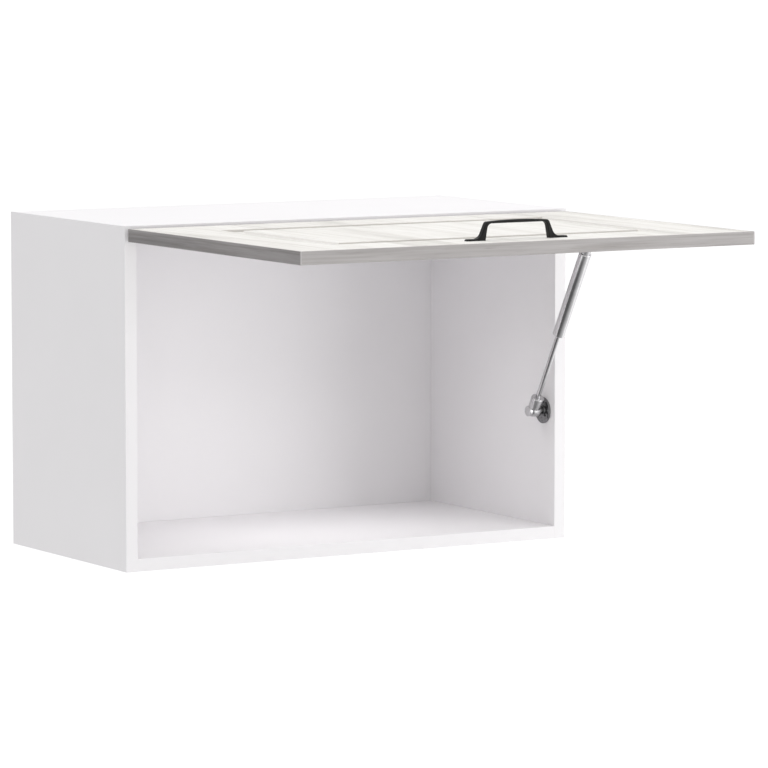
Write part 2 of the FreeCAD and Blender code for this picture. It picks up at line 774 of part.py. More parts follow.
def make_wall_plate(screws):
    disc = bar("wall_disc", "wall_plate_radius", "wall_plate_thickness",
               ("inner_half - wall_plate_thickness", "strut_y", "strut_z"), "x")
    return node("strut_wall_plate", cut("strut_wall_plate", disc, screws))


def strut_eye(name, height, hole_radius):
    """A ring across the strut at a height along it, and the hole through it."""
    ring = bar(f"{name}_ring", "eye_radius", "eye_width", ("-eye_width / 2", "0", height), "x")
    hole = bar(f"{name}_hole", hole_radius, "eye_width", ("-eye_width / 2", "0", height), "x")
    return ring, hole


def make_rod_eye():
    """The lower end fitting: an eye filled by the pivot's pin, and a barrel that takes the rod."""
    ring, hole = strut_eye("rod_eye", "0", "stud_radius")
    barrel = bar("rod_eye_barrel", "socket_radius", "socket_length", ("0", "0", "0"))
    socket = bar("rod_eye_socket", "rod_thread_radius", "socket_length - eye_radius",
                 ("0", "0", "eye_radius"))
    fitting = cut("strut_rod_eye", join("rod_eye_blank", [ring, barrel]), hole, socket)
    return node("strut_rod_eye", place_on_strut(fitting))


def make_rod_and_piston():
    thread = bar("rod_thread", "rod_thread_radius", "socket_length - eye_radius", ("0", "0", "eye_radius"))
    shaft = bar("rod_shaft", "rod_radius", "rod_end - socket_length", ("0", "0", "socket_length"))
    node("strut_rod", place_on_strut(join("strut_rod", [thread, shaft])))
    disc = bar("piston_disc", "tube_bore - piston_clearance", "piston_length",
               ("0", "0", "rod_end - piston_length"))
    core = bar("piston_core", "rod_radius", "piston_length", ("0", "0", "rod_end - piston_length"))
    node("strut_piston", place_on_strut(cut("strut_piston", disc, core)))


def make_tube_and_guide():
    skin = bar("tube_skin", "tube_radius", "tube_end - tube_start", ("0", "0", "tube_start"))
    bore = bar("tube_bore_room", "tube_bore", "tube_end - tube_start", ("0", "0", "tube_start"))
    node("strut_tube", place_on_strut(cut("strut_tube", skin, bore)))
    ring = bar("guide_ring", "tube_bore", "guide_length", ("0", "0", "tube_start"))
    hole = bar("guide_hole", "rod_radius + rod_clearance", "guide_length", ("0", "0", "tube_start"))
    node("strut_rod_guide", place_on_strut(cut("strut_rod_guide", ring, hole)))


def make_tube_eye():
    """The upper end fitting: a plug in the tube, a neck and an eye that runs on the flap's stud."""
    plug = bar("tube_plug", "tube_bore", "cap_length", ("0", "0", "tube_end - cap_length"))
    neck = bar("tube_eye_neck", "eye_neck_radius", "tube_end_gap", ("0", "0", "tube_end"))
    ring, hole = strut_eye("tube_eye", "strut_open", "stud_radius + stud_clearance")
    fitting = cut("strut_tube_eye", join("tube_eye_blank", [plug, neck, ring]), hole)
    return node("strut_tube_eye", place_on_strut(fitting))


def make_flap_bracket(screws):
    """An angle on the flap's inner face; its ear carries the stud of the upper pivot."""
    base = block("bracket_base", ("flap_plate_width", "flap_plate_length", "flap_plate_thickness"),
                 ("ear_x - flap_plate_width", "strut_top_y - flap_plate_length / 2",
                  "flap_inner - flap_plate_thickness"))
    ear = block("bracket_ear", ("ear_thickness", "2 * ear_radius", "strut_standoff"),
                ("ear_x - ear_thickness", "strut_top_y - ear_radius", "strut_top_z"))
    ear_round = bar("bracket_ear_round", "ear_radius", "ear_thickness",
                    ("ear_x - ear_thickness", "strut_top_y", "strut_top_z"), "x")
    bracket = join("bracket_blank", [base, ear, ear_round])
    return node("strut_flap_bracket", cut("strut_flap_bracket", bracket, screws))


def make_flap_stud():
    """The upper pivot: a neck on the ear, a pin that the eye turns on, and a round head."""
    steps = [("stud_neck_radius", "flap_stud_neck"), ("stud_radius", "eye_width + 2 * strut_play"),
             ("stud_head_radius", "stud_head_length")]
    stud = turned("strut_flap_stud", steps, ("ear_x", "strut_top_y", "strut_top_z"), "x")
    return node("strut_flap_stud", stud)


def make_flap_bracket_screws():
    x = "ear_x - ear_thickness - (flap_plate_width - ear_thickness) / 2"
    screws = [wood_screw("bracket_screw",
                         (x, f"strut_top_y + {way} * flap_plate_screw_spacing / 2",
                          "flap_inner - flap_plate_thickness - screw_head_height"), "z")
              for way in (-1, 1)]
    return node("strut_flap_screws", group("strut_flap_screws", screws))


def make_carcass():
    dowels = make_dowels()
    bolts = make_cam_bolts()
    housings = make_cam_locks()
    nails = make_nails()
    wall_holes = make_wall_holes()
    plate_screws = make_hinge_plate_screws()
    strut_screws = make_wall_plate_screws()
    make_back_panel(nails, wall_holes)
    make_hanging_rail(dowels, wall_holes)
    for side in SIDES:
        make_side_panel(side, dowels, bolts, nails, strut_screws)
    make_level_panel("top_panel", "top_face - board", dowels, housings, nails, plate_screws)
    make_level_panel("bottom_panel", "bottom_face", dowels, housings, nails)
    make_carcass_bands()
    arm_screws = make_arm_screws()
    for side in SIDES:
        make_hinge_plate(side, group("plate_fixings", [plate_screws, arm_screws]))
        make_hinge_arm(side)
    make_wall_plate(strut_screws)
    make_wall_stud()


def make_flap():
    cup_screws = make_cup_screws()
    handle_screws = make_handle_screws()
    bracket_screws = make_flap_bracket_screws()
    for side in SIDES:
        make_hinge_cup(side, make_hinge_pin(side), cup_screws)
    make_flap_board(cup_screws, handle_screws, bracket_screws)
    make_flap_bands()
    make_handle(handle_screws)
    make_flap_bracket(bracket_screws)
    make_flap_stud()


def make_strut():
    make_pivot_cap()
    make_rod_eye()
    make_rod_and_piston()
    make_tube_and_guide()
    make_tube_eye()


def check_and_write():
    """Stop if anything failed, then write one file per sub-part."""
    doc.recompute()
    for thing in doc.Objects:
        if "Invalid" in thing.State or "Error" in thing.State:
            raise RuntimeError(f"{thing.Name} failed: {thing.State}")
    for thing in nodes:
        if thing.Shape.isNull() or not thing.Shape.isValid() or not thing.Shape.Solids:
            raise RuntimeError(f"{thing.Label} has no valid solid")
    os.makedirs("parts", exist_ok=True)
    for thing in nodes:
        thing.Shape.exportStep(f"parts/{thing.Label}.step")
        print(f"{thing.Label}: {len(thing.Shape.Solids)} solids, {thing.Shape.Volume:.1f} mm3")
    print(f"strut: open {value('strut_open'):.2f}, shut {value('strut_shut'):.2f},"
          f" lean {value('strut_lean'):.3f} degrees")


make_carcass()
make_flap()
make_strut()
check_and_write()
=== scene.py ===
"""Looks of the kitchen wall cabinet: white melamine carcass, whitewashed wood flap, black handle, gas strut.

Metres, in the part's own frame: +X right, -Y front, +Z up, origin on the wall plane.
"""
import json
import math

import bmesh
import bpy
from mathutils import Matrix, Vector


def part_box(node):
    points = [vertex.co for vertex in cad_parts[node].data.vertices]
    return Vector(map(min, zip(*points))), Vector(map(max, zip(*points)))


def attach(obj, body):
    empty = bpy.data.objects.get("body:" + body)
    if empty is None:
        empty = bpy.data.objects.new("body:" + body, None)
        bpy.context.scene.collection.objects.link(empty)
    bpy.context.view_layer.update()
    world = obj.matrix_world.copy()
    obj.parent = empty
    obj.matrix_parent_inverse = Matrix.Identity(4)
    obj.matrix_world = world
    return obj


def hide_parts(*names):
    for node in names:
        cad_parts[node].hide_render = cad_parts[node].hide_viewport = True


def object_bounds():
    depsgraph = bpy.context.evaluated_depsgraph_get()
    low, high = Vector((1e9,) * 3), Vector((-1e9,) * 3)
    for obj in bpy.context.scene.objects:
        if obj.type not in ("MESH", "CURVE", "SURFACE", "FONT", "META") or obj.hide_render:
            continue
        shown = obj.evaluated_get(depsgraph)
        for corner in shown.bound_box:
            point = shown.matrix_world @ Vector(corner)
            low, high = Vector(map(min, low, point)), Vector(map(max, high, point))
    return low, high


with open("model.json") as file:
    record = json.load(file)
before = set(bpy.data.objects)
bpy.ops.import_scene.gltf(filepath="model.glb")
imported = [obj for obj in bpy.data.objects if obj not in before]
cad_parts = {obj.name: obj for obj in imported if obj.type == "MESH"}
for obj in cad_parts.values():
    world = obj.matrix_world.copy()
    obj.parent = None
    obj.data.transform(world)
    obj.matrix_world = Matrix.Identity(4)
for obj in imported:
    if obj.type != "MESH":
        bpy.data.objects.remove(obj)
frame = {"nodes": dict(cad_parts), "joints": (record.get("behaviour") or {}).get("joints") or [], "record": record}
cad_low, cad_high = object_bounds()
NODES = frame["nodes"]
JOINTS = {joint["name"]: joint for joint in frame["joints"]}
BODY_OF = {name: body for body, names in frame["record"]["behaviour"]["bodies"].items() for name in names}
SLOT_OF = {entry["node"]: entry["material_slot"] for entry in frame["record"]["subparts"]}
MM = 0.001
SAME_PLACE = 0.01 * MM
X_AXIS = Vector((1, 0, 0))
Z_AXIS = Vector((0, 0, 1))

# The camera that fits the photograph: angles in degrees, lens and sensor in millimetres
CAMERA_PLACE = Vector((-2.959, -5.350, 0.434))
CAMERA_TURN = 30.705
CAMERA_PITCH = 5.866
CAMERA_LENS = 234.4
SENSOR = 36.0

# Studio: a dark mat on the floor that only mirrors see is a painted reflection: it gives bright metal its dark
# stripe
FLOOR_DROP = 0.45
FLOOR_SIZE = 400.0
FLOOR_LIFT = 0.42
ROOM_LIGHT = 0.70
MAT_PLACE = (-0.45, -0.55)
MAT_RADIUS = 1.25
MAT_DARK_RADIUS = 0.35
MAT_DARK = 0.15
MAT_ABOVE_FLOOR = 1 * MM
MAT_STEPS = 64
FILL_SPREAD = math.radians(100)

# How far a face has to turn along an axis to begin, and to end, taking the tone of that side
FACING_START = 0.35
FACING_END = 0.8

# Roundings of edges and rims, in real sizes
BOARD_EASE = 0.4 * MM
BAND_EASE = 0.3 * MM
GROOVE_EASE = 0.6 * MM
METAL_EASE = 0.4 * MM
COVER_EASE = 0.1 * MM
WALL_POST_EASE = 0.5 * MM
FLAP_POST_EASE = 0.3 * MM
TUBE_EASE = 1.2 * MM
SOCKET_EASE = 1.2 * MM
NUT_EASE = 1.2 * MM
EYE_EASE = 1.4 * MM
PLATE_EASE = 0.8 * MM
HEAD_EASE_MOST = 0.9 * MM

# Which edges are eased: long ones on boards, short ones too on metal, and only sharp ones
LONG_EDGE = 25 * MM
SHORT_EDGE = 6 * MM
FLAT_ANGLE = math.radians(1)
CREST_ANGLE = math.radians(60)
RIM_ANGLE = math.radians(40)

# How finely round forms are cut
EASE_STEPS = 3
RIM_STEPS = 4
TURN_STEPS = 72
SCREW_STEPS = 24

# Screw heads, as shares of the head's radius: the cross is narrow between its arms
HEAD_DOME = 0.35
RECESS_DEPTH = 0.4
RECESS_FLOOR = 0.30
RECESS_MOUTH = 0.66
CROSS_WAIST = 0.36
CROSS_SHARPNESS = 6


# Node helpers: a colour mix node keeps its sockets at these places

MIX_FACTOR = 0
MIX_FIRST = 6
MIX_SECOND = 7
MIX_RESULT = 2


def shader_node(tree, kind, values=None, **settings):
    """A shader node with its settings; a value may be a number, a colour or another node's output."""
    made = tree.nodes.new(f"ShaderNode{kind}")
    for name, setting in settings.items():
        setattr(made, name, setting)
    for name, value in (values or {}).items():
        socket = made.inputs[name]
        if isinstance(value, bpy.types.NodeSocket):
            tree.links.new(value, socket)
        else:
            socket.default_value = value
    return made


def new_material(name, **shader_values):
    """A material with one principled shader; gives back its tree and that shader."""
    material = bpy.data.materials.new(name)
    material.use_nodes = True
    tree = material.node_tree
    shader = tree.nodes["Principled BSDF"]
    for socket, value in shader_values.items():
        shader.inputs[socket.replace("_", " ")].default_value = value
    return material, tree, shader


def stretched_noise(tree, per_metre, detail=4.0, roughness=0.5, distortion=0.0):
    """Noise in the part's own metres; per_metre holds how many waves fit in a metre along each axis."""
    place = shader_node(tree, "TexCoord").outputs["Object"]
    mapped = shader_node(tree, "Mapping", {"Vector": place, "Scale": per_metre}).outputs["Vector"]
    noise = shader_node(tree, "TexNoise", {"Vector": mapped, "Scale": 1.0, "Detail": detail,
                                           "Roughness": roughness, "Distortion": distortion})
    return noise.outputs["Fac"]


def even(per_metre):
    """The same number of waves along all three axes."""
    return (per_metre, per_metre, per_metre)


def ramp(tree, factor, stops):
    """Colours along a factor: each stop is a position and a colour."""
    made = shader_node(tree, "ValToRGB", {"Fac": factor})
    elements = made.color_ramp.elements
    while len(elements) < len(stops):
        elements.new(1.0)
    for element, (position, colour) in zip(elements, stops):
        element.position = position
        element.color = (*colour, 1.0)
    return made.outputs["Color"]


def spread(tree, factor, low, high, start=0.0, end=1.0):
    """A factor taken from one range to another."""
    made = shader_node(tree, "MapRange", {"Value": factor, "From Min": start, "From Max": end,
                                          "To Min": low, "To Max": high})
    return made.outputs["Result"]


def mixed(tree, factor, first, second, blend="MIX"):
    """Two colours mixed by a factor."""
    made = shader_node(tree, "Mix", data_type="RGBA", blend_type=blend)
    for index, value in ((MIX_FACTOR, factor), (MIX_FIRST, first), (MIX_SECOND, second)):
        socket = made.inputs[index]
        if isinstance(value, bpy.types.NodeSocket):
            tree.links.new(value, socket)
        else:
            socket.default_value = value if isinstance(value, float) else (*value, 1.0)
    return made.outputs[MIX_RESULT]


def bump(tree, shader, height, depth):
    """Relief of a real depth in metres."""
    made = shader_node(tree, "Bump", {"Height": height, "Strength": 1.0, "Distance": depth})
    tree.links.new(made.outputs["Normal"], shader.inputs["Normal"])


def connect(tree, shader, **sources):
    """Tie outputs to a shader's sockets."""
    for socket, source in sources.items():
        tree.links.new(source, shader.inputs[socket.replace("_", " ")])


def mirrored_or_seen(tree):
    """One for rays from the camera and for what metal and glass show, nought for the light itself."""
    path = shader_node(tree, "LightPath").outputs
    factor = path["Is Camera Ray"]
    for kind in ("Is Glossy Ray", "Is Transmission Ray"):
        factor = shader_node(tree, "Math", {0: factor, 1: path[kind]}, operation="MAXIMUM").outputs[0]
    return factor


def facing(tree, axis):
    """How far a surface of the part faces along one of its own axes, either way."""
    normal = shader_node(tree, "TexCoord").outputs["Normal"]
    parts = shader_node(tree, "SeparateXYZ", {"Vector": normal})
    return shader_node(tree, "Math", {0: parts.outputs[axis]}, operation="ABSOLUTE").outputs[0]


# Materials

def white_melamine(name, light, shade):
    """Smooth decor paper with a faint pearl relief and slight clouding."""
    material, tree, shader = new_material(name, Specular_IOR_Level=0.45)
    cloud = stretched_noise(tree, even(7.0), detail=3.0)
    colour = ramp(tree, cloud, [(0.3, shade), (0.7, light)])
    pearl = stretched_noise(tree, even(1400.0), detail=2.0)
    gloss = spread(tree, stretched_noise(tree, even(30.0)), 0.40, 0.52)
    connect(tree, shader, Base_Color=colour, Roughness=gloss)
    bump(tree, shader, pearl, 0.02 * MM)
    return material


def grained_wood(name, along, pale, middle, dark, end_grain_and_shade, painted_highlight=None):
    """Brushed grain along one axis (0 is X, 1 is Y), with its own tone where it is cut across: real end grain, and
    on the flap's groove walls a painted shade.

    On walls that run with the grain a paler tone is laid on as a painted highlight.
    """
    material, tree, shader = new_material(name, Specular_IOR_Level=0.35)

    def grain(across_waves, along_waves, **settings):
        waves = [across_waves] * 3
        waves[along] = along_waves
        return stretched_noise(tree, tuple(waves), **settings)

    bands = grain(26.0, 2.2, detail=5.0, roughness=0.62, distortion=0.6)
    fibres = grain(420.0, 7.0, detail=4.0, roughness=0.6)
    pores = grain(900.0, 26.0, detail=2.0)
    colour = ramp(tree, bands, [(0.34, dark), (0.46, middle), (0.60, pale)])
    fibre_shade = ramp(tree, fibres, [(0.36, (0.80, 0.79, 0.77)), (0.56, (1.0, 1.0, 1.0))])
    colour = mixed(tree, 0.8, colour, fibre_shade, "MULTIPLY")
    pore_shade = ramp(tree, pores, [(0.28, (0.72, 0.71, 0.69)), (0.36, (1.0, 1.0, 1.0))])
    colour = mixed(tree, 0.7, colour, pore_shade, "MULTIPLY")
    # Faces cut across the grain take their own tone: real end grain, and on the flap's groove walls facing front
    # and back a painted shade
    end_grain_and_shade_faces = spread(tree, facing(tree, along), 0.0, 1.0, start=FACING_START, end=FACING_END)
    colour = mixed(tree, end_grain_and_shade_faces, colour, end_grain_and_shade)
    # Walls that run with the grain are made paler: a painted highlight
    if painted_highlight:
        highlight_walls = spread(tree, facing(tree, 1 - along), 0.0, 1.0, start=FACING_START, end=FACING_END)
        colour = mixed(tree, highlight_walls, colour, painted_highlight)
    gloss = spread(tree, fibres, 0.62, 0.44, start=0.35, end=0.65)
    connect(tree, shader, Base_Color=colour, Roughness=gloss)
    bump(tree, shader, fibres, 0.06 * MM)
    return material


def black_cast(name):
    """Matt black lacquer over cast metal, with a sandy skin and a little polish on the crests."""
    material, tree, shader = new_material(name, Specular_IOR_Level=0.14)
    skin = stretched_noise(tree, even(900.0), detail=4.0)
    patches = stretched_noise(tree, even(60.0), detail=2.0)
    colour = ramp(tree, patches, [(0.35, (0.004, 0.004, 0.004)), (0.7, (0.010, 0.0095, 0.009))])
    rim = shader_node(tree, "NewGeometry").outputs["Pointiness"]
    worn = spread(tree, rim, 0.0, 0.35, start=0.52, end=0.62)
    colour = mixed(tree, worn, colour, (0.06, 0.057, 0.054))
    gloss = spread(tree, skin, 0.38, 0.52, start=0.3, end=0.7)
    connect(tree, shader, Base_Color=colour, Roughness=gloss)
    bump(tree, shader, skin, 0.05 * MM)
    return material


def bright_metal(name, colour, rough_low, rough_high):
    """Plated or drawn metal with faint uneven polish."""
    material, tree, shader = new_material(name, Metallic=1.0)
    polish = stretched_noise(tree, even(120.0), detail=5.0)
    dull = tuple(0.9 * part for part in colour)
    tint = ramp(tree, polish, [(0.3, dull), (0.7, colour)])
    gloss = spread(tree, polish, rough_low, rough_high, start=0.3, end=0.7)
    connect(tree, shader, Base_Color=tint, Roughness=gloss)
    bump(tree, shader, polish, 0.004 * MM)
    return material


def moulded_plastic(name, colour, roughness):
    """Moulded plastic with a fine matt skin."""
    material, tree, shader = new_material(name, IOR=1.45)
    skin = stretched_noise(tree, even(1500.0), detail=2.0)
    shade = tuple(0.85 * part for part in colour)
    tint = ramp(tree, stretched_noise(tree, even(150.0)), [(0.35, shade), (0.65, colour)])
    gloss = spread(tree, skin, roughness - 0.08, roughness + 0.08, start=0.3, end=0.7)
    connect(tree, shader, Base_Color=tint, Roughness=gloss)
    bump(tree, shader, skin, 0.01 * MM)
    return material


MATERIALS = {
    "white_board": white_melamine("white_board", (0.90, 0.885, 0.90), (0.885, 0.87, 0.885)),
    "white_edge": white_melamine("white_edge", (0.92, 0.905, 0.92), (0.905, 0.89, 0.905)),
    "white_sheet": white_melamine("white_sheet", (0.89, 0.875, 0.89), (0.875, 0.86, 0.875)),
    # Flap groove walls: the darker tone on walls facing front and back is painted shade, the paler tone on walls
    # facing the sides a painted highlight
    "flap_decor": grained_wood("flap_decor", along=1, pale=(0.92, 0.905, 0.875), middle=(0.84, 0.82, 0.785),
                               dark=(0.66, 0.645, 0.61), end_grain_and_shade=(0.62, 0.60, 0.57),
                               painted_highlight=(0.97, 0.955, 0.935)),
    "flap_edge": grained_wood("flap_edge", along=0, pale=(0.47, 0.45, 0.445), middle=(0.40, 0.38, 0.375),
                              dark=(0.29, 0.275, 0.27), end_grain_and_shade=(0.36, 0.345, 0.34)),
    # The side edges are painted shade: the same grey edge decor, coloured darker because those sides face away
    # from the light
    "flap_side_edge": grained_wood("flap_side_edge", along=1, pale=(0.34, 0.325, 0.325),
                                   middle=(0.28, 0.265, 0.265), dark=(0.20, 0.19, 0.19),
                                   end_grain_and_shade=(0.50, 0.48, 0.48)),
    "black_cast": black_cast("black_cast"),
    "plated_steel": bright_metal("plated_steel", (0.66, 0.65, 0.63), 0.22, 0.38),
    "silver_tube": bright_metal("silver_tube", (0.64, 0.635, 0.645), 0.08, 0.14),
    "bright_chrome": bright_metal("bright_chrome", (0.58, 0.575, 0.585), 0.05, 0.12),
    "satin_zinc": bright_metal("satin_zinc", (0.60, 0.595, 0.605), 0.24, 0.34),
    "dark_zinc": bright_metal("dark_zinc", (0.24, 0.24, 0.245), 0.22, 0.36),
    "black_seal": moulded_plastic("black_seal", (0.03, 0.03, 0.032), 0.5),
    "dowel_beech": grained_wood("dowel_beech", along=0, pale=(0.62, 0.45, 0.28), middle=(0.55, 0.38, 0.22),
                                dark=(0.42, 0.28, 0.15), end_grain_and_shade=(0.40, 0.27, 0.15)),
}


def dress_cad_nodes():
    """Give every node of the frame the material of its slot."""
    for name, thing in NODES.items():
        thing.data.materials.clear()
        thing.data.materials.append(MATERIALS[SLOT_OF[name]])


# Pieces that stand for nodes of the frame

def add_piece(name, mesh, node):
    """A mesh that stands for a node of the frame and moves with its body."""
    piece = bpy.data.objects.new(name, mesh)
    bpy.context.scene.collection.objects.link(piece)
    mesh.materials.clear()
    mesh.materials.append(MATERIALS[SLOT_OF[node]])
    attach(piece, BODY_OF[node])
    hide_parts(node)
    return piece


def soften(node, radius, shortest):
    """A copy of a flat-sided node whose longer edges are eased."""
    mesh = NODES[node].data.copy()
    shape = bmesh.new()
    shape.from_mesh(mesh)
    bmesh.ops.remove_doubles(shape, verts=shape.verts, dist=SAME_PLACE)
    bmesh.ops.dissolve_limit(shape, angle_limit=FLAT_ANGLE, verts=shape.verts, edges=shape.edges)
    crests = [edge for edge in shape.edges
              if edge.calc_length() > shortest and len(edge.link_faces) == 2
              and edge.calc_face_angle() > CREST_ANGLE]
    bmesh.ops.bevel(shape, geom=crests, offset=radius, segments=EASE_STEPS, profile=0.5, affect="EDGES")
    bmesh.ops.triangulate(shape, faces=shape.faces)
    shape.to_mesh(mesh)
    shape.free()
    return add_piece(f"{node}_eased", mesh, node)


def solids_of(node):
    """The points of each separate solid of a node."""
    shape = bmesh.new()
    shape.from_mesh(NODES[node].data)
    bmesh.ops.remove_doubles(shape, verts=shape.verts, dist=SAME_PLACE)
    solids = []
    for first in shape.verts:
        if first.tag:
            continue
        first.tag = True
        found = [first]
        for vertex in found:
            for edge in vertex.link_edges:
                other = edge.other_vert(vertex)
                if not other.tag:
                    other.tag = True
                    found.append(other)
        solids.append([vertex.co.copy() for vertex in found])
    shape.free()
    return solids


def box_of(points):
    """Low and high corners of some points."""
    low = Vector([min(point[axis] for point in points) for axis in range(3)])
    high = Vector([max(point[axis] for point in points) for axis in range(3)])
    return low, high


def own_profile(points, start, axis):
    """The outline of a round solid: distances along its axis with the radii of its rims there."""
    rims = {}
    for point in points:
        offset = point - start
        along = offset.dot(axis)
        radius = (offset - along * axis).length
        station = round(along / SAME_PLACE)
        near, far = rims.get(station, (radius, radius))
        rims[station] = (min(near, radius), max(far, radius))
    profile = []
    for station in sorted(rims):
        near, far = rims[station]
        radii = [near, far] if far - near > SAME_PLACE else [far]
        if profile and abs(profile[-1][1] - radii[-1]) < abs(profile[-1][1] - radii[0]):
            radii.reverse()
        profile += [(station * SAME_PLACE, radius) for radius in radii]
    return profile


def eased(profile, ease):
    """The same outline with its outer rims rounded off by quarter circles."""
    closed = [(profile[0][0], 0.0), *profile, (profile[-1][0], 0.0)]
    result = []
    for before, rim, after in zip(closed, closed[1:], closed[2:]):
        along, radius = rim
        rises = before[0] == along and radius > before[1]
        falls = after[0] == along and radius > after[1]
        if not rises and not falls:
            result.append(rim)
            continue
        middle = along + ease if rises else along - ease
        corner = []
        for step in range(RIM_STEPS + 1):
            angle = math.pi / 2 * step / RIM_STEPS
            out = ease * math.cos(angle)
            corner.append((middle - out if rises else middle + out, radius - ease * (1 - math.sin(angle))))
        result += corner if rises else reversed(corner)
    return result


def cross_arm(angle):
    """How far a cross recess reaches at an angle, as a share of its arms."""
    return CROSS_WAIST + (1.0 - CROSS_WAIST) * math.cos(2 * angle) ** CROSS_SHARPNESS


def turned_shell(shape, profile, start, axis, steps=TURN_STEPS, crossed=0):
    """Add a round shell to a mesh; its first rings may be cross-shaped, for a screw's recess."""
    turn = Z_AXIS.rotation_difference(axis).to_matrix()
    rings = []
    for number, (along, radius) in enumerate(profile):
        ring = []
        for step in range(steps):
            angle = 2 * math.pi * step / steps
            arm = cross_arm(angle) if number < crossed else 1.0
            spot = Vector((arm * radius * math.cos(angle), arm * radius * math.sin(angle), along))
            ring.append(shape.verts.new(start + turn @ spot))
        rings.append(ring)
    for lower, upper in zip(rings, rings[1:]):
        for step in range(steps):
            after = (step + 1) % steps
            shape.faces.new((lower[step], lower[after], upper[after], upper[step]))
    shape.faces.new(list(reversed(rings[0])))
    shape.faces.new(rings[-1])


def round_piece(name, node, shape):
    """Finish a mesh of round shells as a piece with smooth sides and crisp rims."""
    bmesh.ops.recalc_face_normals(shape, faces=shape.faces)
    mesh = bpy.data.meshes.new(name)
    shape.to_mesh(mesh)
    shape.free()
    mesh.polygons.foreach_set("use_smooth", [True] * len(mesh.polygons))
    mesh.set_sharp_from_angle(angle=RIM_ANGLE)
    return add_piece(name, mesh, node)


def turn_solids(name, node, axis, ease):
    """Round pieces in the place of a node's round solids, with eased rims."""
    shape = bmesh.new()
    for points in solids_of(node):
        low, high = box_of(points)
        middle = (low + high) / 2
        turned_shell(shape, eased(own_profile(points, middle, axis), ease), middle, axis)
    return round_piece(name, node, shape)


def make_screws(node):
    """Screws with domed heads and cross recesses, in the place of a node's plain ones."""
    shape = bmesh.new()
    for points in solids_of(node):
        low, high = box_of(points)
        size = high - low
        axis = Vector([float(side == max(size)) for side in size])
        middle = (low + high) / 2
        profile = own_profile(points, middle, axis)
        if profile[-1][1] > profile[0][1] + SAME_PLACE:
            axis = -axis
            profile = own_profile(points, middle, axis)
        top, head = profile[0]
        dome = min(HEAD_DOME * head, HEAD_EASE_MOST)
        recess = [(top + RECESS_DEPTH * head, RECESS_FLOOR * head), (top, RECESS_MOUTH * head)]
        turned_shell(shape, recess + eased(profile, dome), middle, axis, SCREW_STEPS, len(recess))
    return round_piece(f"{node}_crossed", node, shape)


# Gas strut: places come from its joints and from the points of its nodes

STRUT_TOP = Vector(JOINTS["strut_swing"]["pos_m"])
STRUT_WAY = Vector(JOINTS["strut_stroke"]["axis"])
PIVOT_LOW, PIVOT_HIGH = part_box("strut_pivot_cap")
STRUT_FOOT = (PIVOT_LOW + PIVOT_HIGH) / 2
STRUT_FOOT.x = STRUT_TOP.x
TUBE_STRETCH = 2.6 * MM


def along_strut(node):
    """The outline of a node round the strut's axis, counted from the lower pivot."""
    return own_profile([vertex.co for vertex in NODES[node].data.vertices], STRUT_FOOT, STRUT_WAY)


def outer_bar(node):
    """Start, end and outer radius of a node that lies along the strut."""
    profile = along_strut(node)
    return profile[0][0], profile[-1][0], max(radius for _, radius in profile)


def tube_span():
    """Start, end and radius of the cylinder, drawn a little longer at the top, as the photograph shows it."""
    low, high, radius = outer_bar("strut_tube")
    return low, high + TUBE_STRETCH, radius


def make_strut_tube():
    """The cylinder, with rounded ends."""
    low, high, radius = tube_span()
    shape = bmesh.new()
    turned_shell(shape, eased([(low, radius), (high, radius)], TUBE_EASE), STRUT_FOOT, STRUT_WAY)
    round_piece("strut_cylinder", "strut_tube", shape)


def make_strut_rod():
    """The piston rod, with eased ends."""
    shape = bmesh.new()
    turned_shell(shape, eased(along_strut("strut_rod"), METAL_EASE), STRUT_FOOT, STRUT_WAY)
    round_piece("strut_piston_rod", "strut_rod", shape)


EYE_RADIUS = -along_strut("strut_rod_eye")[0][0]
EYE_LOW, EYE_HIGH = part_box("strut_rod_eye")
EYE_HALF = (EYE_HIGH.x - EYE_LOW.x) / 2
NUT_LENGTH = 5.3 * MM
NUT_SEAM = 0.5 * MM
NUT_SHANK_SHARE = 0.45
NECK_SHARE = 0.95


def make_stud_nut():
    """The round nut that closes the lower eye, with its shank through the eye."""
    head = (PIVOT_HIGH.z - PIVOT_LOW.z) / 2
    shank = NUT_SHANK_SHARE * head
    length = PIVOT_HIGH.x - PIVOT_LOW.x
    seat = length - NUT_LENGTH
    start = Vector((PIVOT_HIGH.x, STRUT_FOOT.y, STRUT_FOOT.z))
    profile = [(0.0, shank), (seat, shank), (seat, head), (length, head)]
    shape = bmesh.new()
    turned_shell(shape, eased(profile, NUT_EASE), start, -X_AXIS)
    round_piece("strut_stud_head", "strut_pivot_cap", shape)


def make_rod_socket():
    """The lower end fitting: a plain barrel on the rod and a slimmer cross eye up to the nut's seam."""
    offsets = [vertex.co - STRUT_FOOT for vertex in NODES["strut_rod_eye"].data.vertices]
    end = max(offset.dot(STRUT_WAY) for offset in offsets)
    rims = [offset for offset in offsets if offset.dot(STRUT_WAY) > end - SAME_PLACE]
    barrel = max((rim - rim.dot(STRUT_WAY) * STRUT_WAY).length for rim in rims)
    barrel_start = 4.5 * MM
    eye_slimming = 0.8 * MM
    eye = EYE_RADIUS - eye_slimming
    eye_start = PIVOT_LOW.x + NUT_LENGTH + NUT_SEAM - STRUT_FOOT.x
    shape = bmesh.new()
    turned_shell(shape, eased([(barrel_start, barrel), (end, barrel)], SOCKET_EASE), STRUT_FOOT, STRUT_WAY)
    turned_shell(shape, eased([(eye_start, eye), (EYE_HALF, eye)], EYE_EASE), STRUT_FOOT, X_AXIS)
    round_piece("strut_ball_socket", "strut_rod_eye", shape)


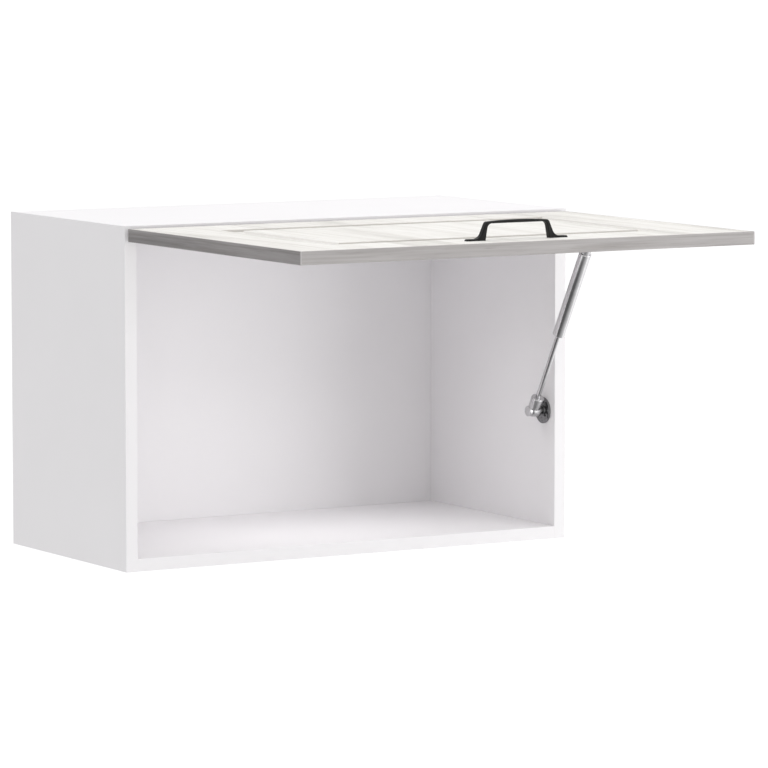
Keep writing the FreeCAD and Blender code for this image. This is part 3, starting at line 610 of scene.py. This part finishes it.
def make_tube_eye():
    """The upper end fitting: a plug in the tube, a neck and a cross eye on the flap's stud."""
    start = min((vertex.co - STRUT_FOOT).dot(STRUT_WAY) for vertex in NODES["strut_tube_eye"].data.vertices)
    tube_end = tube_span()[1]
    top = (STRUT_TOP - STRUT_FOOT).dot(STRUT_WAY)
    plug = outer_bar("strut_rod_guide")[2]
    neck = NECK_SHARE * plug
    profile = [(start, plug), (tube_end, plug), (tube_end, neck), (top, neck)]
    shape = bmesh.new()
    turned_shell(shape, eased(profile, METAL_EASE), STRUT_FOOT, STRUT_WAY)
    turned_shell(shape, eased([(-EYE_HALF, EYE_RADIUS), (EYE_HALF, EYE_RADIUS)], EYE_EASE), STRUT_TOP, X_AXIS)
    round_piece("strut_top_eye", "strut_tube_eye", shape)


def make_wall_plate():
    """A round pressed plate with a rolled rim and a low boss round the stud."""
    low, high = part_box("strut_wall_plate")
    radius = (high.z - low.z) / 2
    thick = high.x - low.x
    start = Vector((high.x, STRUT_FOOT.y, STRUT_FOOT.z))
    boss = 7 * MM
    boss_height = 0.8 * MM
    profile = [(0.0, radius), (thick, radius), (thick, boss), (thick + boss_height, boss)]
    shape = bmesh.new()
    turned_shell(shape, eased(profile, PLATE_EASE), start, -X_AXIS)
    round_piece("strut_wall_flange", "strut_wall_plate", shape)


# Stage, light and camera

def make_floor():
    """A pale floor that reads as white and keeps the shadow."""
    bpy.ops.mesh.primitive_plane_add(size=FLOOR_SIZE, location=(0, 0, cad_low.z - FLOOR_DROP))
    floor = bpy.context.object
    floor.name = "floor"
    material, tree, shader = new_material("floor", Roughness=0.9, Emission_Color=(1.0, 1.0, 1.0, 1.0))
    speckle = stretched_noise(tree, even(40.0))
    pale = ramp(tree, speckle, [(0.3, (0.90, 0.90, 0.90)), (0.7, (0.92, 0.92, 0.92))])
    lift = spread(tree, mirrored_or_seen(tree), 0.0, FLOOR_LIFT)
    connect(tree, shader, Base_Color=pale, Emission_Strength=lift)
    floor.data.materials.append(material)


def make_mat():
    """A round mat on the floor that glows dark in its middle and white at its rim and shows in bright metal only:
    a painted reflection.
    """
    place = (*MAT_PLACE, cad_low.z - FLOOR_DROP + MAT_ABOVE_FLOOR)
    bpy.ops.mesh.primitive_circle_add(radius=MAT_RADIUS, fill_type="NGON", vertices=MAT_STEPS, location=place)
    mat = bpy.context.object
    mat.name = "painted_reflection_mat"
    material, tree, shader = new_material("painted_reflection_mat", Base_Color=(0.0, 0.0, 0.0, 1.0), Specular_IOR_Level=0.0,
                                          Emission_Color=(1.0, 1.0, 1.0, 1.0))
    spot = shader_node(tree, "TexCoord").outputs["Object"]
    from_middle = shader_node(tree, "VectorMath", {0: spot}, operation="LENGTH").outputs["Value"]
    glow = spread(tree, from_middle, MAT_DARK, 1.0, start=MAT_DARK_RADIUS, end=MAT_RADIUS)
    connect(tree, shader, Emission_Strength=glow)
    mat.data.materials.append(material)
    mat.visible_camera = False
    mat.visible_diffuse = False
    mat.visible_shadow = False


def make_world():
    """Soft white light from all sides; the camera and mirrors see plain white."""
    world = bpy.data.worlds.new("studio")
    bpy.context.scene.world = world
    world.use_nodes = True
    tree = world.node_tree
    tree.nodes.clear()
    strength = spread(tree, mirrored_or_seen(tree), ROOM_LIGHT, 1.0)
    light = shader_node(tree, "Background", {"Color": (1.0, 1.0, 1.0, 1.0), "Strength": strength})
    output = shader_node(tree, "OutputWorld")
    tree.links.new(light.outputs[0], output.inputs["Surface"])


def area_light(name, place, target, size, watts):
    """A soft rectangular lamp that the camera doesn't see."""
    lamp = bpy.data.lights.new(name, "AREA")
    lamp.shape = "RECTANGLE"
    lamp.size, lamp.size_y = size
    lamp.energy = watts
    thing = bpy.data.objects.new(name, lamp)
    bpy.context.scene.collection.objects.link(thing)
    thing.location = place
    thing.rotation_euler = (Vector(target) - Vector(place)).to_track_quat("-Z", "Y").to_euler()
    thing.visible_camera = False
    return thing


def make_lights():
    """Three soft boxes round the cabinet, and a weak fill inside for the light under the flap."""
    middle = (cad_low + cad_high) / 2
    area_light("front_softbox", place=(1.8, -2.45, 0.08), target=middle, size=(1.5, 1.0), watts=19.0)
    area_light("top_softbox", place=(0.2, -0.6, 2.6), target=middle, size=(2.4, 2.0), watts=30.0)
    area_light("left_softbox", place=(-3.0, -1.2, 0.6), target=middle, size=(1.8, 1.8), watts=0.9)
    fill_place = Vector((0.0, -0.225, 0.0))
    straight_down = fill_place - Z_AXIS
    fill = area_light("inner_fill", place=fill_place, target=straight_down, size=(0.36, 0.12), watts=0.23)
    fill.data.spread = FILL_SPREAD
    fill.visible_glossy = False


def make_camera():
    """The camera at the photograph's angle."""
    data = bpy.data.cameras.new("photo_camera")
    data.sensor_width = SENSOR
    data.lens = CAMERA_LENS
    data.clip_end = 2 * FLOOR_SIZE
    camera = bpy.data.objects.new("photo_camera", data)
    camera.location = CAMERA_PLACE
    camera.rotation_euler = (math.radians(90.0 - CAMERA_PITCH), 0.0, -math.radians(CAMERA_TURN))
    bpy.context.scene.collection.objects.link(camera)
    bpy.context.scene.camera = camera


# The whole scene

BOARDS = ("side_panel_left", "side_panel_right", "top_panel", "bottom_panel", "hanging_rail",
          "edge_band_side_left", "edge_band_side_right", "edge_band_top", "edge_band_bottom")
PRESSED_PARTS = ("hinge_plate_left", "hinge_plate_right", "hinge_arm_left", "hinge_arm_right",
                 "hinge_cup_left", "hinge_cup_right", "strut_flap_bracket")
SCREWS = ("hinge_plate_screws", "hinge_adjusting_screws", "hinge_cup_screws", "handle_screws",
          "strut_wall_screws", "strut_flap_screws")

dress_cad_nodes()
for board in BOARDS:
    soften(board, BAND_EASE if "band" in board else BOARD_EASE, LONG_EDGE)
soften("flap_board", GROOVE_EASE, LONG_EDGE)
for part in PRESSED_PARTS:
    soften(part, METAL_EASE, SHORT_EDGE)
for screw_node in SCREWS:
    make_screws(screw_node)
turn_solids("cam_cover_discs", "cam_covers", Z_AXIS, COVER_EASE)
turn_solids("strut_wall_post", "strut_wall_stud", -X_AXIS, WALL_POST_EASE)
turn_solids("strut_flap_post", "strut_flap_stud", X_AXIS, FLAP_POST_EASE)
make_strut_tube()
make_strut_rod()
make_stud_nut()
make_rod_socket()
make_tube_eye()
make_wall_plate()
make_floor()
make_mat()
make_world()
make_lights()
make_camera()
bpy.context.scene.view_settings.view_transform = "Standard"
bpy.context.view_layer.update()
